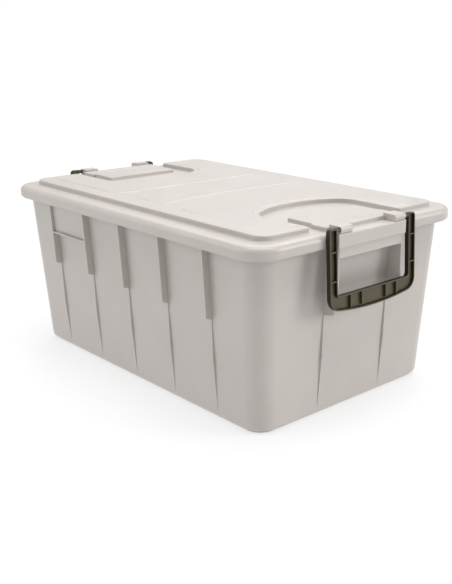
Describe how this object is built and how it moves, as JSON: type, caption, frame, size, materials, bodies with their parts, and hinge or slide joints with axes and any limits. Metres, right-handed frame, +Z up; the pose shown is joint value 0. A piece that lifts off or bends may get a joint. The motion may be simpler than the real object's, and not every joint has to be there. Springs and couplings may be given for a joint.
{
  "type": "stacking storage crate",
  "caption": "Rectangular stacking storage crate with tapered ribbed walls, a lift-off lid and a dark swing handle at each short end.",
  "frame": {"origin": "centre of the crate's underside, on the plane it stands on", "axes": "+X along the crate's length, +Y across its width, +Z up; the label plate is on the -Y side"},
  "size_m": [0.6264, 0.4, 0.2714],
  "materials": {
    "white_polypropylene": "moulded satin",
    "olive_black_plastic": "moulded satin"
  },
  "bodies": {
    "body": {"crate_body": "white_polypropylene"},
    "lid": {"lid": "white_polypropylene"},
    "handle_right": {"handle_right": "olive_black_plastic"},
    "handle_left": {"handle_left": "olive_black_plastic"}
  },
  "joints": [
    {"name": "lid_lift", "type": "slide", "parent": "body", "child": "lid", "axis": [0, 0, 1], "range_m": [0, 0.15]},
    {"name": "handle_right_swing", "type": "hinge", "parent": "lid", "child": "handle_right", "pos_m": [0.304, 0, 0.267], "axis": [0, -1, 0], "range_deg": [0, 263]},
    {"name": "handle_left_swing", "type": "hinge", "parent": "lid", "child": "handle_left", "pos_m": [-0.304, 0, 0.267], "axis": [0, 1, 0], "range_deg": [0, 263]}
  ]
}
